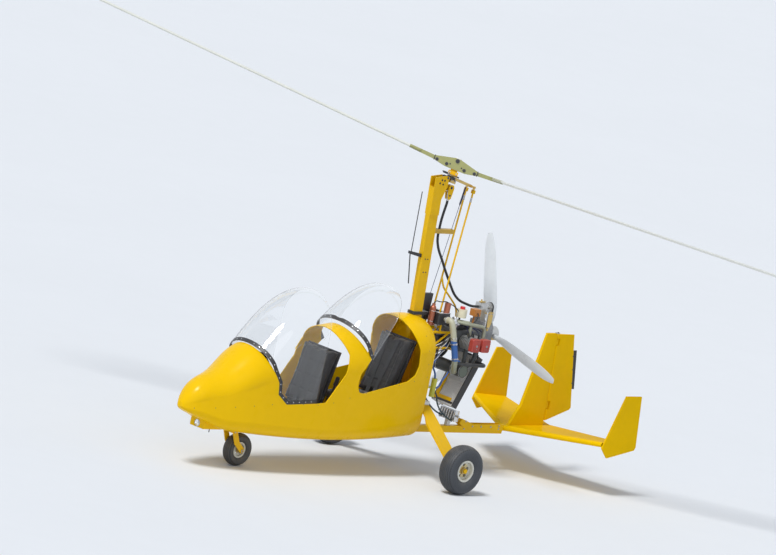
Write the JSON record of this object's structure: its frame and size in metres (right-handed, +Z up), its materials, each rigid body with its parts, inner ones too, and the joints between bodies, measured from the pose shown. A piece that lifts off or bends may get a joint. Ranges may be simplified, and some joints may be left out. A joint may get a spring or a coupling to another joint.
{
  "type": "gyrocopter",
  "caption": "Open tandem two-seat pusher gyrocopter with teetering rotor, rear propeller, tricycle gear and low twin-winglet tail.",
  "frame": {"origin": "ground point on the centre line directly below the main wheels' axle", "axes": "+Z up, +Y aft towards the tail, +X to the aircraft's left (port)"},
  "size_m": [6.2944, 5.4646, 3.6213],
  "materials": {
    "yellow_shell": "high gloss gel coat",
    "yellow_frame": "gloss powder coat over welded tube",
    "black_trim": "satin black",
    "screen": "clear polycarbonate",
    "seat": "black padded cover",
    "black_plastic": "satin",
    "dark_steel": "dark machined steel",
    "bare_alloy": "machined alloy",
    "engine_alloy": "cast alloy, dark",
    "brick_red": "wrinkle paint",
    "pale_pipe": "satin",
    "cream_plastic": "translucent moulding",
    "amber_box": "satin moulding",
    "blue_hose": "silicone hose",
    "black_rubber": "matt sleeve",
    "copper_can": "satin",
    "tyre": "matt",
    "white_rim": "gloss paint",
    "blade": "gloss paint",
    "prop_pale": "gloss composite",
    "lamp_chrome": "mirror bowl",
    "lamp_glass": "clear",
    "core_grey": "finned core",
    "hub_olive": "satin paint",
    "spring_blue": "dark blue enamel"
  },
  "bodies": {
    "airframe": {"fuselage_tub": "yellow_shell", "nose_cowl": "yellow_shell", "mid_cowl": "yellow_shell", "rear_cowl": "yellow_shell", "front_windshield": "screen", "rear_windshield": "screen", "windshield_trims": "black_trim", "keel": "yellow_frame", "mast": "yellow_frame", "mast_brackets": "black_plastic", "seat_bases": "black_plastic", "seat_cushions": "seat", "seat_backs": "seat", "instrument_panel": "black_plastic", "controls": "black_plastic", "lamp_bowl": "lamp_chrome", "lamp_lens": "lamp_glass", "engine_block": "engine_alloy", "rocker_covers": "brick_red", "gearbox": "engine_alloy", "engine_mount": "yellow_frame", "airbox": "black_plastic", "air_canister": "copper_can", "intake_pipes": "pale_pipe", "silencer": "dark_steel", "fluid_bottles": "cream_plastic", "electrics_box": "amber_box", "radiators": "core_grey", "radiator_frame": "black_plastic", "coolant_hose": "blue_hose", "prerotator_drive": "bare_alloy", "prerotator_shaft": "black_rubber", "gear_legs": "yellow_shell", "gear_carrier": "bare_alloy", "stabiliser": "yellow_shell", "winglets": "yellow_shell", "fin": "yellow_shell", "antenna": "black_plastic"},
    "head_yoke": {"head_yoke": "bare_alloy"},
    "head_block": {"head_block": "bare_alloy"},
    "rotor_tower": {"rotor_tower": "yellow_frame"},
    "rotor": {"hub_bar": "hub_olive", "rotor_blades": "blade"},
    "propeller": {"prop_hub": "bare_alloy", "prop_blades": "prop_pale"},
    "nose_fork": {"nose_fork": "yellow_frame"},
    "nose_wheel": {"nose_rim": "white_rim", "nose_tyre": "tyre"},
    "port_wheel": {"port_rim": "white_rim", "port_tyre": "tyre"},
    "starboard_wheel": {"starboard_rim": "white_rim", "starboard_tyre": "tyre"},
    "rudder": {"rudder": "yellow_shell", "rudder_tab": "black_trim"},
    "pushrods": {"pushrods": "yellow_frame"},
    "trim_spring": {"trim_spring": "spring_blue"}
  },
  "joints": [
    {"name": "head_pitch", "type": "hinge", "parent": "airframe", "child": "head_yoke", "pos_m": [0, -0.0948, 2.5805], "axis": [1, 0, 0], "range_deg": [-3, 13]},
    {"name": "head_roll", "type": "hinge", "parent": "head_yoke", "child": "head_block", "pos_m": [0, -0.02711, 2.56267], "axis": [0, 0.967, -0.2546], "range_deg": [-9, 9]},
    {"name": "rotor_spin", "type": "hinge", "parent": "head_block", "child": "rotor_tower", "pos_m": [0, 0.012, 2.723], "axis": [0, 0.2546, 0.967], "continuous": true},
    {"name": "rotor_teeter", "type": "hinge", "parent": "rotor_tower", "child": "rotor", "pos_m": [0, 0.012, 2.723], "axis": [-0.673, 0.7153, -0.1883], "range_deg": [-8, 8]},
    {"name": "prop_spin", "type": "hinge", "parent": "airframe", "child": "propeller", "pos_m": [0, 0.859, 1.225], "axis": [0, 1, 0], "continuous": true},
    {"name": "nose_steer", "type": "hinge", "parent": "airframe", "child": "nose_fork", "pos_m": [0, -2.035, 0.306], "axis": [0, 0, 1], "range_deg": [-25, 25]},
    {"name": "nose_wheel_spin", "type": "hinge", "parent": "nose_fork", "child": "nose_wheel", "pos_m": [0, -1.906, 0.142], "axis": [1, 0, 0], "continuous": true},
    {"name": "port_wheel_spin", "type": "hinge", "parent": "airframe", "child": "port_wheel", "pos_m": [0.8, 0, 0.215], "axis": [1, 0, 0], "continuous": true},
    {"name": "starboard_wheel_spin", "type": "hinge", "parent": "airframe", "child": "starboard_wheel", "pos_m": [-0.8, 0, 0.215], "axis": [1, 0, 0], "continuous": true},
    {"name": "rudder_hinge", "type": "hinge", "parent": "airframe", "child": "rudder", "pos_m": [0, 1.705, 1.222], "axis": [0, -0.0681, 0.9977], "range_deg": [-25, 25]},
    {"name": "pushrod_travel", "type": "slide", "parent": "airframe", "child": "pushrods", "axis": [0, 0.0874, 0.9962], "range_m": [-0.0216, 0.0803]},
    {"name": "trim_travel", "type": "slide", "parent": "airframe", "child": "trim_spring", "axis": [0, 0.1623, 0.9867], "range_m": [-0.0186, 0.0672]}
  ],
  "couplings": [
    {"joint": "rudder_hinge", "follows": "nose_steer", "ratio": -1},
    {"joint": "pushrod_travel", "follows": "head_pitch", "m_per_rad": 0.33618},
    {"joint": "trim_travel", "follows": "head_pitch", "m_per_rad": 0.27875}
  ]
}
